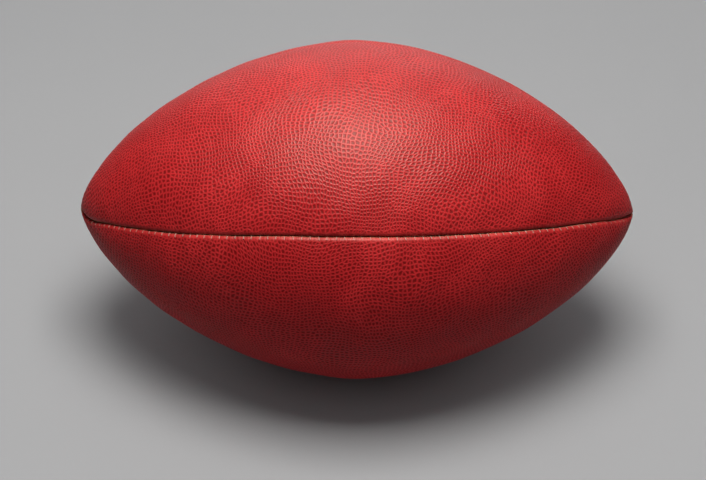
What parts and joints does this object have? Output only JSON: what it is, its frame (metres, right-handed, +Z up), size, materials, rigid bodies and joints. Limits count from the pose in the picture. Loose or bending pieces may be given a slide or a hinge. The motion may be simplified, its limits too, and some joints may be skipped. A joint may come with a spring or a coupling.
{
  "type": "american football",
  "caption": "Prolate leather ball: sewn panels with turned-in seams and linings, closed by a flat lace over a rubber bladder with a needle valve.",
  "frame": {"origin": "centre of the ball, which is the centre of its bounding box", "axes": "+X along the ball from tip to tip; +Z up with the ball lying on its side; the front seam, the one seen from -Y and above, is 32.2 degrees above -Y and the laced seam is opposite it, below +Y"},
  "size_m": [0.2798, 0.172, 0.172],
  "materials": {
    "leather": "semi-gloss pebbled red leather",
    "lining": "matt woven cotton",
    "facing": "matt split leather",
    "guard": "matt suede",
    "lace": "satin white",
    "bladder": "satin black",
    "valve": "matt black",
    "plug": "matt red brown",
    "thread": "waxed tan thread"
  },
  "bodies": {
    "root": {"panel_top": "leather", "panel_back": "leather", "panel_bottom": "leather", "panel_front": "leather", "lining_top": "lining", "lining_back": "lining", "lining_bottom": "lining", "lining_front": "lining", "facing_back": "facing", "facing_bottom": "facing", "bladder_guard": "guard", "lace": "lace", "bladder": "bladder", "valve_stem": "valve", "valve_base": "valve", "valve_plug": "plug", "seam_thread_front": "thread", "seam_thread_top": "thread", "seam_thread_back_left": "thread", "seam_thread_back_right": "thread", "seam_thread_bottom": "thread"}
  },
  "joints": []
}
